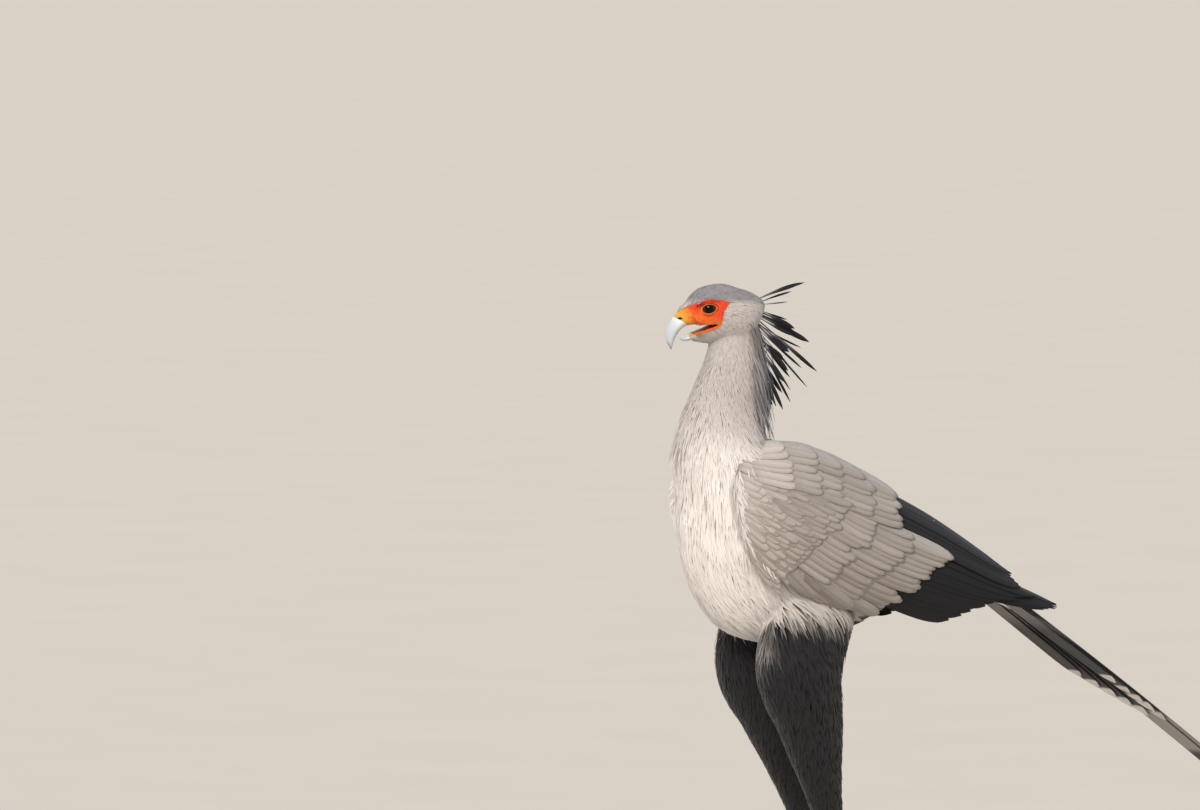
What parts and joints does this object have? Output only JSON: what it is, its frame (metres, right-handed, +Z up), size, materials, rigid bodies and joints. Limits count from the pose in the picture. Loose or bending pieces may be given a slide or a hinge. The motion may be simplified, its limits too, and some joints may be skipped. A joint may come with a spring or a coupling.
{
  "type": "secretary bird",
  "caption": "Standing life-size secretary bird: long legs, hooked bill, bare face, nape crest, folded wings, long tail",
  "frame": {"origin": "bottom centre of the bounding box, on the floor that the feet stand on", "axes": "+Z up, the bird faces -Y, its left side is towards +X"},
  "size_m": [0.2348, 0.902, 1.1204],
  "materials": {
    "head_skin": "short grey plumage, bare orange-red face",
    "plumage": "soft pale grey and white plumage",
    "wing_feathers": "grey coverts over black flight feathers",
    "tail_feathers": "grey and black feathers with white tips",
    "thigh_feathers": "black plumage",
    "cere": "waxy yellow skin",
    "horn": "smooth blue-grey horn",
    "eye": "wet and dark brown",
    "leg_skin": "scaled pinkish skin",
    "claw": "dark horn"
  },
  "bodies": {
    "root": {"bill_lower": "horn", "bill_upper": "horn", "cere": "cere", "claw_left_hind": "claw", "claw_left_inner": "claw", "claw_left_middle": "claw", "claw_left_outer": "claw", "claw_right_hind": "claw", "claw_right_inner": "claw", "claw_right_middle": "claw", "claw_right_outer": "claw", "eye_left": "eye", "eye_right": "eye", "foot_left": "leg_skin", "foot_right": "leg_skin", "head": "head_skin", "neck": "plumage", "shank_left": "leg_skin", "shank_right": "leg_skin", "tail": "tail_feathers", "thigh_left": "thigh_feathers", "thigh_right": "thigh_feathers", "torso": "plumage", "wing_left": "wing_feathers", "wing_right": "wing_feathers"}
  },
  "joints": []
}
